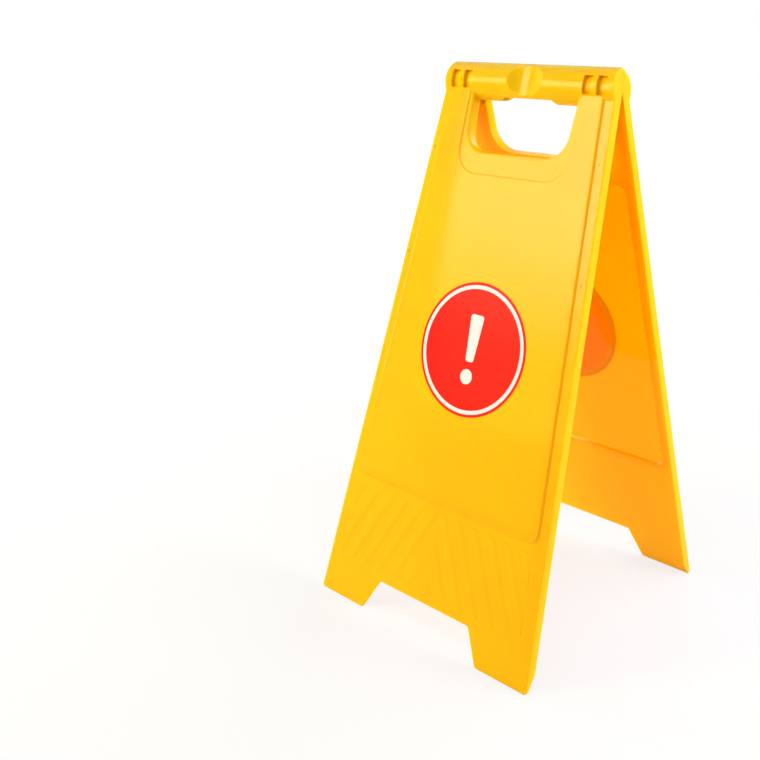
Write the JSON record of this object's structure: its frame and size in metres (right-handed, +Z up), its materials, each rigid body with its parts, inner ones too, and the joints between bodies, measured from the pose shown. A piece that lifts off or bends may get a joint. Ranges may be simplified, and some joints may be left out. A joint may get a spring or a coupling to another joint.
{
  "type": "folding floor sign",
  "caption": "Folding A-frame floor sign with moulded plastic leaves hinged below a carrying handle and a round warning print on each outer face.",
  "frame": {"origin": "on the floor, midway between the feet of the open sign", "axes": "+Z up, X along the hinge, the front leaf faces -Y"},
  "size_m": [0.3044, 0.3244, 0.5947],
  "materials": {
    "yellow_plastic": "injection-moulded polypropylene, glossy",
    "yellow_pin": "moulded pin, plain",
    "red_ink": "screen-printed ink, glossy",
    "white_ink": "screen-printed ink, glossy"
  },
  "bodies": {
    "front": {"front_leaf": "yellow_plastic", "right_hinge_pin": "yellow_pin", "front_disc_print": "red_ink", "front_ring_print": "white_ink", "front_stroke_print": "white_ink", "front_dot_print": "white_ink"},
    "rear": {"rear_leaf": "yellow_plastic", "left_hinge_pin": "yellow_pin", "rear_disc_print": "red_ink", "rear_ring_print": "white_ink", "rear_stroke_print": "white_ink", "rear_dot_print": "white_ink"}
  },
  "joints": [
    {"name": "fold", "type": "hinge", "parent": "front", "child": "rear", "pos_m": [0, 0, 0.57143], "axis": [1, 0, 0], "range_deg": [-29.6, 0]}
  ]
}
